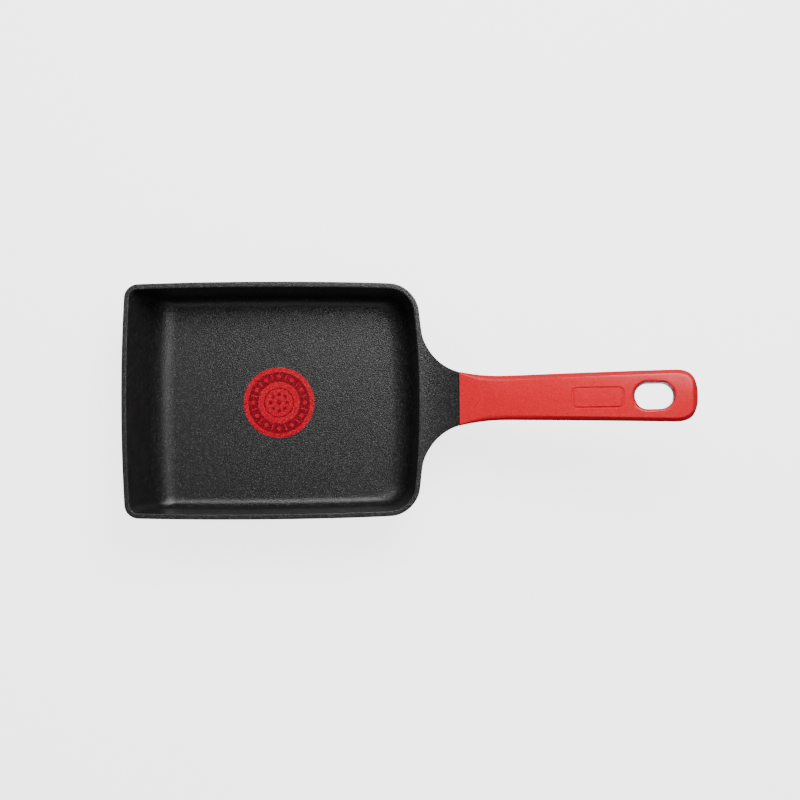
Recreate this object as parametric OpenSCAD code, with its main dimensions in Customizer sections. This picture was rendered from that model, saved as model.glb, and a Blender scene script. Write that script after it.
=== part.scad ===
// Rectangular rolled-omelette pan: a cast aluminium vessel with a moulded handle on its neck.
// Millimetres. +X runs from the vessel to the handle and +Z is up. The origin lies in the
// base plane, under the middle of the mouth.

/* [Vessel] */
// Inside length of the mouth, from the far wall to the handle wall
mouth_len = 181.5; // [160:0.5:205]
// Inside width of the mouth
mouth_w = 141; // [120:0.5:160]
// Height of the rim above the base
vessel_h = 42; // [36:0.5:52]
// Thickness of the wall, measured level
wall_t = 3.5; // [3:0.1:5]
// Thickness of the floor, with the plate set into its underside
floor_t = 4.5; // [3.5:0.1:7]
// Lean of the far wall, which the egg is rolled against, in degrees
far_lean = 22; // [10:1:30]
// Lean of the wall beside the handle, in degrees
near_lean = 9; // [3:1:15]
// Lean of the two long walls, in degrees
side_lean = 6; // [2:1:12]
// Radius between the floor and the far wall
far_fillet = 16; // [8:0.5:20]
// Radius between the floor and the wall beside the handle
near_fillet = 12; // [6:0.5:16]
// Radius between the floor and the long walls
side_fillet = 6; // [4:0.5:10]
// How far the middle of the far wall bows outwards
far_bow = 2.1; // [0:0.1:4]
// How far the middle of the wall beside the handle bows outwards
near_bow = 4.3; // [0:0.1:6]
// How far the middle of each long wall bows outwards
side_bow = 1.5; // [0:0.1:4]
// How much nearer together the long walls stand beside the handle than at the far wall
narrowing = 1.6; // [0:0.1:4]
// Inside corner radius at the mouth, at the far wall
far_corner = 5; // [4:0.5:14]
// Inside corner radius at the mouth, beside the handle
near_corner = 14.5; // [12:0.5:28]
// Inside corner radius at the floor, at the far wall
far_floor_corner = 5; // [4:0.5:12]
// Inside corner radius at the floor, beside the handle
near_floor_corner = 10; // [8:0.5:18]
// Rounding of the rim's two edges
rim_r = 0.7; // [0.6:0.1:1.4]

/* [Neck] */
// Length of the cast neck, from the vessel's wall to the handle
neck_len = 20.8; // [14:0.1:30]
// Radius of the flare where the neck grows out of the wall
flare_r = 31.4; // [24:0.1:44]
// Rounding of the neck's top edges
neck_edge = 1.5; // [0.8:0.1:2.5]
// Rounding of the neck's lower edges
neck_low_edge = 4; // [1:0.1:5]
// Height above the base at which the neck's underside leaves the wall
neck_root_z = 14; // [8:0.5:18]
// Width of the neck's underside where it leaves the wall, as a part of its top's width
neck_root_part = 0.42; // [0.3:0.02:0.7]
// Upward tilt of the handle, in degrees
pitch = 11.5; // [8:0.5:20]
// Width of the tang that the handle slides onto
tang_w = 20; // [14:0.5:22]
// Thickness of the tang
tang_t = 8; // [7:0.5:9]
// Length of the tang beyond the neck
tang_len = 32; // [28:0.5:40]

/* [Handle] */
// Length of the handle, from the neck to the butt
handle_len = 146.7; // [135:0.2:170]
// Width of the neck and the handle where they meet
front_w = 33.8; // [30:0.2:38]
// Width of the underside of the grip and the neck's end, as a part of the width above it
under_part = 0.86; // [0.7:0.02:1]
// Width that the grip's taper starts from
grip_w = 26.1; // [24:0.1:30]
// Width of the grip at the butt
butt_w = 32.5; // [29:0.1:36]
// Length over which the front of the handle narrows to the grip
waist_len = 30; // [20:1:40]
// Height of the top above the tang's middle, at the front
front_up = 7.5; // [6.8:0.1:9]
// Depth of the underside below the tang's middle, at the front
front_down = 8.5; // [7.5:0.1:10]
// Height of the top above the grip's middle, at the butt
butt_up = 6; // [5.5:0.1:7.5]
// Depth of the underside below the grip's middle, at the butt
butt_down = 6.9; // [6:0.1:8]
// Extra depth of the belly under the fingers
belly = 7; // [6:0.1:9]
// Distance of the belly from the front
belly_at = 24; // [20:1:30]
// Rise of the grip's middle over the line between its ends
arch = 6.8; // [2:0.1:8]
// Edge radius along the top of the grip
grip_top_r = 3.2; // [2:0.1:5.2]
// Edge radius along the underside of the grip
grip_low_r = 4.2; // [2:0.1:6]
// Crown of the grip's top face
crown = 1; // [0:0.1:1.6]
// Length over which the butt rounds off, seen from above
butt_round = 12; // [8:0.5:16]
// Length over which the butt rounds off, seen from the side
butt_edge = 4; // [3:0.5:8]
// Thickness of the gasket between the neck and the handle
gasket_t = 0.8; // [0.5:0.1:1.5]
// How far the gasket's edge lies inside the neck's outline
gasket_inset = 0.3; // [0:0.1:0.8]
// Gap round the tang inside the handle's socket
socket_gap = 0.3; // [0.2:0.05:0.5]
// Length of the plain panel outlined on top of the grip
panel_len = 31; // [20:1:40]
// Width of that panel
panel_w = 12.6; // [8:0.1:16]
// Corner radius of that panel
panel_r = 2.7; // [1.5:0.1:3.5]
// Distance of the panel's middle from the front of the handle
panel_at = 87.2; // [75:0.1:92]
// Width of the groove that outlines the panel
panel_groove = 0.6; // [0.4:0.1:1]
// Depth of that groove
panel_deep = 0.3; // [0.2:0.1:0.6]

/* [Hanging hole] */
// Length of the hole through the grip
hole_len = 25.4; // [20:0.2:28]
// Width of the hole through the grip
hole_w = 17.4; // [12:0.2:19]
// Distance from the middle of the hole to the end of the butt
hole_to_butt = 25.9; // [24:0.2:32]
// Bevel round the top of the hole
hole_bevel = 1.1; // [0.3:0.1:1.2]
// Thickness of the steel lining
lining_t = 0.7; // [0.5:0.1:1.2]
// Width of the lining's flange under the grip
flange_w = 1.2; // [0.8:0.1:2]
// Depth of the lining's top edge below the top of the grip
lining_drop = 1; // [0.5:0.1:2]

/* [Fastener] */
// Thread diameter of the screw that holds the handle
screw_d = 4; // [3:0.5:4.5]
// Length of the screw under its head
screw_len = 10; // [9:0.5:11]
// Diameter of the screw's head
head_d = 8; // [7:0.1:8.4]
// Height of the screw's head
head_h = 2.6; // [2.2:0.1:3]
// Height of the straight rim of the head, under its dome
head_rim = 1.4; // [0.8:0.1:2]
// Width of the flat on top of the head's dome
head_flat = 4.8; // [3:0.1:6]
// Length of each slot of the cross recess
drive_len = 4.6; // [3:0.1:6]
// Width of each slot of the cross recess
drive_w = 1.1; // [0.8:0.1:1.6]
// Depth of the cross recess
drive_deep = 1.6; // [1:0.1:2]
// Distance of the screw from the neck
screw_at = 18; // [12:0.5:22]
// Solid plastic left between the tang's socket and the screw's seat
seat_web = 2.4; // [1.8:0.1:2.8]
// Diameter of the recess for the screw's head
recess_d = 10; // [9.6:0.1:12]
// Outer diameter of the flat washer
flat_washer_d = 9; // [8.5:0.1:9.4]
// Thickness of the flat washer
flat_washer_t = 0.8; // [0.5:0.1:1]
// Outer diameter of the spring washer
spring_washer_d = 7.6; // [7:0.1:8.4]
// Thickness of the spring washer
spring_washer_t = 1; // [0.8:0.1:1.2]
// Outer diameter of the threaded insert in the tang
insert_d = 6; // [5.5:0.1:7]
// Length of the threaded insert
insert_len = 7; // [6:0.1:7]
// Width of the cut that splits the spring washer
washer_split = 0.8; // [0.4:0.1:1.2]
// Pitch of the screw's thread
thread_pitch = 0.7; // [0.5:0.1:0.8]

/* [Base plate] */
// Thickness of the steel plate set into the base
plate_t = 0.8; // [0.5:0.1:1.2]
// Flat left between the plate and the edge of the base
plate_margin = 5; // [4:0.5:10]
// Corner radius of the plate
plate_r = 12; // [8:0.5:20]
// Diameter of the plate's holes
plate_hole_d = 5; // [3:0.1:7]
// Distance between the plate's holes
plate_pitch = 12; // [10:0.5:16]

/* [Heat indicator] */
// Diameter of the printed disc
disc_d = 45; // [30:1:60]
// Thickness of the printed disc
disc_t = 0.2; // [0.1:0.05:0.4]
// How far the disc stands above the floor
disc_proud = 0.05; // [0:0.01:0.1]
// Distance of the disc from the middle of the mouth, towards the handle
disc_x = 2; // [-10:0.5:10]

/* [Hidden] */
$fn = 64;

coat_black = [0.13, 0.13, 0.13];
print_red = [0.84, 0.12, 0.14];
grip_red = [0.82, 0.18, 0.17];
steel = [0.72, 0.72, 0.73];
seal_black = [0.05, 0.05, 0.05];

// Gap between pieces that are pressed or cast together
press_gap = 0.03;
// Gap between the screw and what it passes through or screws into
thread_gap = 0.05;
clear_gap = 0.25;
// Overshoot of a cut past the face that it opens
over = 1;
// The last ring of the butt stops this far short of its tip
tip_gap = 0.01;
// Largest edge radius, as a part of the half width or the height that it rounds
edge_limit = 0.92;
// Lean of the spring washer's cut
split_lean = 35;
// Depth of a thread, as a part of its pitch
thread_part = 0.6;

corner_steps = 8;
side_steps = 7;
fillet_steps = 6;
rim_steps = 3;
edge_steps = 5;
face_steps = 4;
neck_steps = 14;
grip_steps = 34;
butt_steps = 9;
butt_power = 2.5;

function mix(a, b, t) = a + (b - a) * t;
function ease(t) = let (c = min(1, max(0, t))) c * c * (3 - 2 * c);
// A quarter of a superellipse: 1 at t = 0, falling to 0 at t = 1
function round_off(t) = pow(1 - pow(min(1, max(0, t)), butt_power), 1 / butt_power);

// Closed surface through rings with equal numbers of points, each ring running
// anticlockwise as seen from the side that the next ring lies on. A fan closes each end.
function middle(ring) = [for (p = ring) 1] * ring / len(ring);
module skin(rings) {
    n = len(rings[0]);
    last = len(rings) - 1;
    hub = n * len(rings);
    faces = [for (i = [0:n - 1]) let (j = (i + 1) % n) each concat(
        [[hub, i, j]], [[hub + 1, last * n + j, last * n + i]],
        [for (k = [0:last - 1]) let (a = k * n + i, b = k * n + j) each [[a, a + n, b + n], [a, b + n, b]]])];
    polyhedron(points = [for (r = rings) each r, middle(rings[0]), middle(rings[last])], faces = faces);
}

function arc_points(centre, r, from) =
    [for (i = [0:corner_steps]) let (a = from + 90 * i / corner_steps) centre + r * [cos(a), sin(a)]];
function between(a, b) = [for (i = [1:side_steps - 1]) mix(a, b, i / side_steps)];

// How far a wall has come in from the rim at height z. It leans straight down, then turns
// into the face at z_low on an arc of radius r.
function wall_in(z, lean, r, z_low) =
    let (centre_in = (vessel_h - z_low - r) * tan(lean) + r / cos(lean),
         z_meet = z_low + r * (1 - sin(lean)))
    z >= z_meet ? (vessel_h - z) * tan(lean)
                : centre_in - sqrt(max(0, r * r - pow(z_low + r - z, 2)));

// Pushes the middle of each side outwards
function bowed(p, far, near, half) =
    let (kx = p.x < 0 ? -p.x / far : p.x / near, ky = p.y / half)
    [p.x + (p.x < 0 ? -far_bow : near_bow) * (1 - ky * ky) * kx * kx,
     p.y + sign(p.y) * (side_bow * (1 - kx * kx) * ky * ky - narrowing * p.x / (far + near) / 2)];

// Rounded rectangle with bowed sides at height z. far, near and half are the distances
// from the middle of the mouth to the middle of each side.
function level(far, near, half, far_r, near_r, z) =
    let (f = far - far_bow, n = near - near_bow, h = half - side_bow,
         right = n - near_r, left = -(f - far_r), back = h - near_r, back_far = h - far_r,
         flat = concat(
             arc_points([right, -back], near_r, -90), between([n, -back], [n, back]),
             arc_points([right, back], near_r, 0), between([right, h], [left, h]),
             arc_points([left, back_far], far_r, 90), between([-f, back_far], [-f, -back_far]),
             arc_points([left, -back_far], far_r, 180), between([left, -h], [right, -h])))
    [for (p = flat) let (q = bowed(p, f, n, h)) [q.x, q.y, z]];

// Surface offset by grow from the mouth at height z, turning into the face at z_low, with
// its fillets wider by spread
function vessel_level(z, z_low, spread, grow) =
    let (t = (vessel_h - z) / vessel_h)
    level(mouth_len / 2 + grow - wall_in(z, far_lean, far_fillet + spread, z_low),
          mouth_len / 2 + grow - wall_in(z, near_lean, near_fillet + spread, z_low),
          mouth_w / 2 + grow - wall_in(z, side_lean, side_fillet + spread, z_low),
          mix(far_corner, far_floor_corner, t) + spread,
          mix(near_corner, near_floor_corner, t) + spread, z);

// Heights that step evenly round the widest fillet
function fillet_levels(r, z_low) =
    [for (i = [0:fillet_steps]) z_low + r * (1 - cos((90 - far_lean) * i / fillet_steps))];

outer_rings = concat(
    [for (z = fillet_levels(far_fillet + wall_t, 0)) vessel_level(z, 0, wall_t, wall_t)],
    [for (i = [0:rim_steps]) let (a = 90 * i / rim_steps)
        vessel_level(vessel_h - rim_r * (1 - sin(a)), 0, wall_t, wall_t - rim_r * (1 - cos(a)))]);
cavity_rings = concat(
    [for (z = fillet_levels(far_fillet, floor_t)) vessel_level(z, floor_t, 0, 0)],
    [for (i = [0:rim_steps]) let (a = 90 * i / rim_steps)
        vessel_level(vessel_h - rim_r * (1 - sin(a)), floor_t, 0, rim_r * (1 - cos(a)))],
    [[for (p = vessel_level(vessel_h, floor_t, 0, rim_r)) [p.x, p.y, vessel_h + over]]]);

// Section of the neck or grip as [y, z] points: width 2 * w, from -down to up, with edges
// of radius top_r and low_r and a top face crowned by rise. Below the top edge the sides
// draw in, until the underside is low_part of the width.
function section(w, up, down, top_r, low_r, rise, low_part) =
    let (rt = min(top_r, edge_limit * min(w, up)), rl = min(low_r, edge_limit * min(w, down)),
         edge = function (cy, cz, r, from)
             [for (i = [0:edge_steps])
                 let (a = from + 90 * i / edge_steps) [cy + r * cos(a), cz + r * sin(a)]],
         flat = concat(
             edge(w - rl, -down + rl, rl, -90),
             edge(w - rt, up - rt, rt, 0),
             [for (i = [1:face_steps - 1]) [mix(w - rt, rt - w, i / face_steps), up]],
             edge(rt - w, up - rt, rt, 90),
             edge(rl - w, -down + rl, rl, 180),
             [for (i = [1:face_steps - 1]) [mix(rl - w, w - rl, i / face_steps), -down]]))
    [for (p = flat)
        [p.x * mix(1, low_part, max(0, up - rt - p.y) / (up - rt + down)),
         p.y + rise * (1 - pow(p.x / w, 2)) * max(0, p.y) / up]];

// Neck. Its top runs level off the rim and curves up to the handle's front edge.
wall_x = mouth_len / 2 + wall_t;
rise_x = mouth_len / 2 + wall_t / 2;
joint_top_x = wall_x + neck_len;
arch_slope = atan(4 * arch / handle_len);
top_curve_r = (joint_top_x - rise_x) / sin(pitch + arch_slope);
function neck_top(x) =
    x < rise_x ? vessel_h : vessel_h + top_curve_r - sqrt(pow(top_curve_r, 2) - pow(x - rise_x, 2));
joint_top = [joint_top_x, neck_top(joint_top_x)];
down_dir = [sin(pitch), -cos(pitch)];
joint_low = joint_top + (front_up + front_down) * down_dir;
// Middle of the tang in the plane where the neck ends
joint = joint_top + front_up * down_dir;

// The flare's arc touches the wall beside the handle and ends at the neck's full width
flare_x = wall_x - near_bow / 2 + flare_r;
flare_y = front_w / 2 + sqrt(pow(flare_r, 2) - pow(flare_x - joint_top_x, 2));
function neck_half_w(x) =
    x <= flare_x - flare_r ? flare_y : flare_y - sqrt(pow(flare_r, 2) - pow(flare_x - x, 2));

neck_start_x = mouth_len / 2 - near_bow - (vessel_h - neck_root_z) * tan(near_lean);
low_start = [neck_start_x, neck_root_z];
low_bend = [wall_x, joint_low.y - (joint_low.x - wall_x) * tan(pitch + arch_slope)];
function neck_low(t) =
    (1 - t) * (1 - t) * low_start + 2 * t * (1 - t) * low_bend + t * t * joint_low;
function neck_ring(t) =
    let (x = mix(neck_start_x, joint_top_x, t), top = [x, neck_top(x)], low = neck_low(t),
         deep = norm(top - low),
         outline = section(neck_half_w(x), deep / 2, deep / 2, neck_edge, neck_low_edge, 0,
                           mix(neck_root_part, under_part, ease(t))))
    [for (p = outline) let (q = mix(top, low, (deep / 2 - p.y) / deep)) [q.x, p.x, q.y]];
neck_rings = [for (i = [0:neck_steps]) neck_ring(i / neck_steps)];

// Grip, in the handle's own frame: x runs along the tang from the neck's end face
function arch_at(s) = 4 * arch * (s / handle_len) * (1 - s / handle_len);
function grip_half_w(s) =
    (mix(grip_w, butt_w, s / handle_len)
        + (front_w - grip_w) * pow(max(0, 1 - s / waist_len), 2)) / 2
        * round_off((s - handle_len + butt_round) / butt_round);
function butt_close(s) = round_off((s - handle_len + butt_edge) / butt_edge);
function grip_up(s) = mix(front_up, butt_up, s / handle_len) * butt_close(s);
function belly_at_s(s) = belly * pow(s / belly_at, 2) * exp(2 * (1 - s / belly_at));
function grip_down(s) = (mix(front_down, butt_down, s / handle_len) + belly_at_s(s)) * butt_close(s);
function grip_ring(s) =
    let (t = ease(s / waist_len), w = grip_half_w(s),
         outline = section(w, grip_up(s), grip_down(s), mix(neck_edge, grip_top_r, t),
                           mix(neck_low_edge, grip_low_r, t), crown * t * butt_close(s), under_part))
    [for (p = outline) [s, p.x, p.y + arch_at(s)]];
butt_start = handle_len - butt_round;
grip_rings = concat(
    [for (i = [0:grip_steps - 1]) grip_ring(mix(gasket_t, butt_start, i / grip_steps))],
    [for (i = [0:butt_steps]) grip_ring(butt_start + (butt_round - tip_gap) * sin(90 * i / butt_steps))]);

// Places its children in the handle's own frame
module on_handle() {
    translate([joint.x, 0, joint.y]) rotate([0, -pitch, 0]) children();
}

// Places its children at the hanging hole, square to the grip there
hole_at = handle_len - hole_to_butt;
hole_tilt = atan(4 * arch / handle_len * (1 - 2 * hole_at / handle_len));
module at_hole() {
    on_handle() translate([hole_at, 0, arch_at(hole_at)]) rotate([0, -hole_tilt, 0]) children();
}

// Places its children on the screw's axis, with z = 0 on the tang's middle
module at_screw() {
    on_handle() translate([screw_at, 0, 0]) children();
}

// Lays a flat shape across the handle, with its x along Y and its y upwards
module across() {
    rotate([90, 0, 90]) children();
}

module rounded_rect(len, width, r) {
    square([len - 2 * r, width], center = true);
    square([len, width - 2 * r], center = true);
    for (x = [-1, 1], y = [-1, 1]) translate([x * (len / 2 - r), y * (width / 2 - r)]) circle(r);
}

module stadium(len, width) {
    square([len - width, width], center = true);
    for (x = [-1, 1]) translate([x * (len - width) / 2, 0]) circle(d = width);
}

module ring(outer, inner, height) {
    difference() {
        cylinder(d = outer, h = height);
        translate([0, 0, -over]) cylinder(d = inner, h = height + 2 * over);
    }
}

// Base plate outline, worked out from the flat of the base
base_far = wall_x - wall_in(0, far_lean, far_fillet + wall_t, 0) - far_bow;
base_near = wall_x - wall_in(0, near_lean, near_fillet + wall_t, 0) - near_bow;
base_half = mouth_w / 2 + wall_t - wall_in(0, side_lean, side_fillet + wall_t, 0) - side_bow;
plate_x = (base_near - base_far) / 2;
plate_len = base_far + base_near - 2 * plate_margin;
plate_w = 2 * (base_half - plate_margin);
row_step = plate_pitch * sqrt(3) / 2;
rows = floor((plate_w / 2 - plate_hole_d) / row_step);
// Holes stand in staggered rows, clear of the plate's edge and corners
plate_holes = [for (j = [-rows:rows])
    let (y = j * row_step, shift = (j % 2 == 0) ? 0 : 0.5,
         reach = plate_len / 2 - plate_hole_d - (abs(y) > plate_w / 2 - plate_r ? plate_r / 2 : 0),
         cols = floor(reach / plate_pitch + shift))
    for (i = [-cols:cols]) let (x = (i + shift) * plate_pitch) if (abs(x) <= reach) [x, y]];

module plate_outline(gap) {
    translate([plate_x, 0]) difference() {
        rounded_rect(plate_len + 2 * gap, plate_w + 2 * gap, plate_r + gap);
        for (p = plate_holes) translate(p) circle(d = plate_hole_d - 2 * gap);
    }
}

module tang_outline(gap) {
    rounded_rect(tang_w + 2 * gap, tang_t + 2 * gap, neck_edge + gap);
}

module pan_body() {
    color(coat_black) difference() {
        union() {
            skin(outer_rings);
            skin(neck_rings);
            on_handle() translate([-over, 0, 0]) across()
                linear_extrude(tang_len + over) tang_outline(0);
        }
        skin(cavity_rings);
        translate([disc_x, 0, floor_t - disc_t + disc_proud])
            cylinder(d = disc_d + 2 * press_gap, h = disc_t);
        translate([0, 0, -over]) linear_extrude(plate_t + over) plate_outline(press_gap);
        at_screw() cylinder(d = insert_d + 2 * press_gap, h = tang_t + 2 * over, center = true);
    }
}

module heat_indicator() {
    color(print_red) translate([disc_x, 0, floor_t - disc_t + disc_proud]) cylinder(d = disc_d, h = disc_t);
}

module induction_plate() {
    color(steel) linear_extrude(plate_t) plate_outline(0);
}

module neck_gasket() {
    color(seal_black) on_handle() across() linear_extrude(gasket_t) difference() {
        polygon(section(front_w / 2 - gasket_inset, front_up - gasket_inset,
                        front_down - gasket_inset, neck_edge, neck_low_edge, 0, under_part));
        tang_outline(press_gap);
    }
}

// Heights of the grip's faces over and under the middle of the hole
hole_top = grip_up(hole_at) + crown * (1 - pow(hole_w / butt_w, 2));
hole_low = -grip_down(hole_at);
module hole_cut() {
    at_hole() {
        translate([0, 0, hole_low - over]) linear_extrude(hole_top - hole_low + 2 * over)
            stadium(hole_len, hole_w);
        translate([0, 0, hole_top - hole_bevel]) bevelled_stadium(hole_len, hole_w, hole_bevel);
        translate([0, 0, hole_low - over]) linear_extrude(lining_t + over)
            stadium(hole_len + 2 * (flange_w + press_gap), hole_w + 2 * (flange_w + press_gap));
    }
}

// Solid that opens a stadium-shaped hole outwards at 45 degrees, from its own size at z = 0
module bevelled_stadium(len, width, size) {
    reach = size + over;
    straight = len - width;
    for (x = [-1, 1]) translate([x * straight / 2, 0, 0])
        cylinder(h = reach, d1 = width, d2 = width + 2 * reach);
    translate([-straight / 2, 0, 0]) across() linear_extrude(straight)
        polygon([[-width / 2, 0], [width / 2, 0], [width / 2 + reach, reach], [-width / 2 - reach, reach]]);
}

panel_top = grip_up(panel_at) + crown * (1 - pow(panel_w / butt_w, 2));
panel_tilt = atan(4 * arch / handle_len * (1 - 2 * panel_at / handle_len));
module panel_cut() {
    on_handle() translate([panel_at, 0, arch_at(panel_at)]) rotate([0, -panel_tilt, 0])
        translate([0, 0, panel_top - panel_deep]) linear_extrude(2 * over) difference() {
            rounded_rect(panel_len, panel_w, panel_r);
            rounded_rect(panel_len - 2 * panel_groove, panel_w - 2 * panel_groove, panel_r - panel_groove);
        }
}

// Heights on the screw's axis, counted down from the tang's middle
seat_z = -(tang_t / 2 + socket_gap + seat_web);
flat_washer_z = seat_z - flat_washer_t;
spring_washer_z = flat_washer_z - spring_washer_t;

module handle_grip() {
    recess_deep = grip_down(screw_at) + over;
    color(grip_red) difference() {
        on_handle() skin(grip_rings);
        on_handle() across() translate([0, 0, gasket_t - over])
            linear_extrude(tang_len - gasket_t + over + socket_gap) tang_outline(socket_gap);
        at_screw() {
            translate([0, 0, -recess_deep]) cylinder(d = recess_d, h = recess_deep + seat_z);
            translate([0, 0, -recess_deep]) cylinder(d = screw_d + 2 * clear_gap, h = recess_deep);
        }
        hole_cut();
        panel_cut();
    }
}

module thread_insert() {
    color(steel) at_screw() translate([0, 0, -tang_t / 2])
        ring(insert_d, screw_d + 2 * thread_gap, insert_len);
}

module flat_washer() {
    color(steel) at_screw() translate([0, 0, flat_washer_z])
        ring(flat_washer_d, screw_d + 2 * clear_gap, flat_washer_t);
}

// A split ring: the cut leans so that its ends can bite
module spring_washer() {
    color(steel) at_screw() translate([0, 0, spring_washer_z]) difference() {
        ring(spring_washer_d, screw_d + 2 * clear_gap, spring_washer_t);
        translate([spring_washer_d / 2, 0, spring_washer_t / 2]) rotate([split_lean, 0, 0])
            cube([spring_washer_d, washer_split, 3 * spring_washer_t], center = true);
    }
}

// Half section of the threaded shank: ridges of one pitch each, from the head up to the tip
thread_depth = thread_part * thread_pitch;
shank_r = screw_d / 2;
turns = floor((screw_len - 2 * thread_pitch) / thread_pitch);
shank_profile = concat(
    [[0, -over / 2], [shank_r - thread_depth, -over / 2], [shank_r - thread_depth, thread_pitch]],
    [for (i = [0:turns - 1]) each [
        [shank_r, (i + 1.5) * thread_pitch], [shank_r - thread_depth, (i + 2) * thread_pitch]]],
    [[shank_r - thread_depth, screw_len], [0, screw_len]]);

// The head's dome goes from its rim to its flat in quarter-ellipse steps
dome_steps = 4;
dome_profile = [for (i = [0:dome_steps]) let (a = 90 * i / dome_steps)
    [mix(head_flat, head_d, cos(a)) / 2, -head_rim - (head_h - head_rim) * sin(a)]];
module handle_screw() {
    color(steel) at_screw() translate([0, 0, spring_washer_z]) difference() {
        union() {
            rotate_extrude() polygon(shank_profile);
            rotate_extrude() polygon(concat([[0, 0], [head_d / 2, 0]], dome_profile, [[0, -head_h]]));
        }
        for (a = [0, 90]) rotate([0, 0, a]) translate([0, 0, -head_h])
            cube([drive_len, drive_w, 2 * drive_deep], center = true);
    }
}

module hanging_eyelet() {
    deep = grip_up(hole_at) - lining_drop - hole_low;
    lining_len = hole_len - 2 * press_gap;
    lining_w = hole_w - 2 * press_gap;
    color(steel) at_hole() translate([0, 0, hole_low]) difference() {
        union() {
            linear_extrude(deep) stadium(lining_len, lining_w);
            linear_extrude(lining_t) stadium(lining_len + 2 * flange_w, lining_w + 2 * flange_w);
        }
        translate([0, 0, -over]) linear_extrude(deep + 2 * over)
            stadium(lining_len - 2 * lining_t, lining_w - 2 * lining_t);
    }
}

pan_body();
heat_indicator();
induction_plate();
neck_gasket();
handle_grip();
thread_insert();
flat_washer();
spring_washer();
handle_screw();
hanging_eyelet();
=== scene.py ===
import math
import bmesh
import bpy
from mathutils import Matrix, Vector


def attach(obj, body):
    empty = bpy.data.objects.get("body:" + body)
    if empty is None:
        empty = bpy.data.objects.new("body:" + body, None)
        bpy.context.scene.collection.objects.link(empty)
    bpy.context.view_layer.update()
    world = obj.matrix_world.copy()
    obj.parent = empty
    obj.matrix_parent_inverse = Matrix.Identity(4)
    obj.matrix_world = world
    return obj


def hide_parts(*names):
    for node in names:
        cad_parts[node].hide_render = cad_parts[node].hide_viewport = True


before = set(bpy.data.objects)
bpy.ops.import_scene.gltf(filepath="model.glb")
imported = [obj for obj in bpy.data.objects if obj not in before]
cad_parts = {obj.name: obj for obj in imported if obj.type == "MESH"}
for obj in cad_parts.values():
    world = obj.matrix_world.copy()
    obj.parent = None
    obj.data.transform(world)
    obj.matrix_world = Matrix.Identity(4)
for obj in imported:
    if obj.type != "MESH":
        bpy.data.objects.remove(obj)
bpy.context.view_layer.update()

print("frame loaded:", len(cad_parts), "nodes")

# pieces are modelled in millimetres, and finishPiece scales them to metres
millimetre = 0.001
# what lies this close together is in the same place
hair = 0.001
# and what lies this close to a row or an edge belongs to it
close = 0.01
# how far a cut reaches past the face that it opens
over = 1.0
# points closer together than this are merged, in a whole mesh and in a plate's outline
weldDistance = 0.002
outlineWeld = 0.005
sharpAngle = math.radians(35)


def mixed(a, b, t):
    return a + (b - a) * t


def eased(t):
    t = min(1.0, max(0.0, t))
    return t * t * (3 - 2 * t)


def clearSelection():
    if bpy.context.object and bpy.context.object.mode != "OBJECT":
        bpy.ops.object.mode_set(mode="OBJECT")
    bpy.ops.object.select_all(action="DESELECT")


def makeActive(piece):
    clearSelection()
    bpy.context.view_layer.objects.active = piece
    piece.select_set(True)


def startPiece(name):
    # the primitive just added becomes a named piece, open in edit mode
    piece = bpy.context.object
    piece.name = name
    piece.data.name = name
    bpy.ops.object.mode_set(mode="EDIT")
    return piece


def pickOnly(piece, kind, test):
    # selects the vertices, edges or faces that pass the test, by place or normal
    modes = {"verts": "VERT", "edges": "EDGE", "faces": "FACE"}
    bpy.ops.mesh.select_mode(type=modes[kind])
    mesh = bmesh.from_edit_mesh(piece.data)
    for item in [*mesh.faces, *mesh.edges, *mesh.verts]:
        item.select = False
    for item in [item for item in getattr(mesh, kind) if test(item)]:
        item.select_set(True)
    mesh.select_flush_mode()
    bmesh.update_edit_mesh(piece.data)


def everything(item):
    return True


def middleOf(edge):
    return (edge.verts[0].co + edge.verts[1].co) / 2


def runsAlongX(edge):
    return abs(edge.verts[0].co.x - edge.verts[1].co.x) > hair


def liesAt(edge, x):
    return all(abs(v.co.x - x) < hair for v in edge.verts)


def resizeAbout(centre, x=1.0, y=1.0, z=1.0):
    bpy.ops.transform.resize(value=(x, y, z), center_override=centre)


def moveBy(x=0.0, y=0.0, z=0.0):
    bpy.ops.transform.translate(value=(x, y, z))


def applyPlace():
    bpy.ops.object.transform_apply(location=True, rotation=True, scale=True)


def applyModifier(piece, kind, **settings):
    makeActive(piece)
    modifier = piece.modifiers.new(kind.title(), kind)
    for key, value in settings.items():
        setattr(modifier, key, value)
    bpy.ops.object.modifier_apply(modifier=modifier.name)


def smoothOut(piece, levels):
    applyModifier(piece, "SUBSURF", levels=levels, render_levels=levels)


def combine(piece, other, operation):
    applyModifier(piece, "BOOLEAN", operation=operation, solver="EXACT", object=other)
    bpy.data.objects.remove(other, do_unlink=True)


def cutAway(piece, cutter):
    combine(piece, cutter, "DIFFERENCE")


def turnNormalsOut(piece):
    makeActive(piece)
    bpy.ops.object.mode_set(mode="EDIT")
    bpy.ops.mesh.select_all(action="SELECT")
    bpy.ops.mesh.remove_doubles(threshold=weldDistance)
    bpy.ops.mesh.normals_make_consistent(inside=False)
    bpy.ops.object.mode_set(mode="OBJECT")


def placePiece(piece, x, z, tilt):
    # from its own frame to a place that is tipped up by tilt
    makeActive(piece)
    piece.rotation_euler = (0, -tilt, 0)
    piece.location = (x, 0, z)
    applyPlace()


def finishPiece(piece, material, nodes):
    # into metres, with its place in its mesh, then shaded and tied to the frame
    turnNormalsOut(piece)
    piece.scale = [millimetre * s for s in piece.scale]
    piece.location = piece.location * millimetre
    applyPlace()
    bpy.ops.object.shade_smooth_by_angle(angle=sharpAngle)
    piece.data.materials.clear()
    piece.data.materials.append(material)
    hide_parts(*nodes)
    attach(piece, "root")
    print("finished", piece.name, len(piece.data.polygons), "faces")


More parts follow.
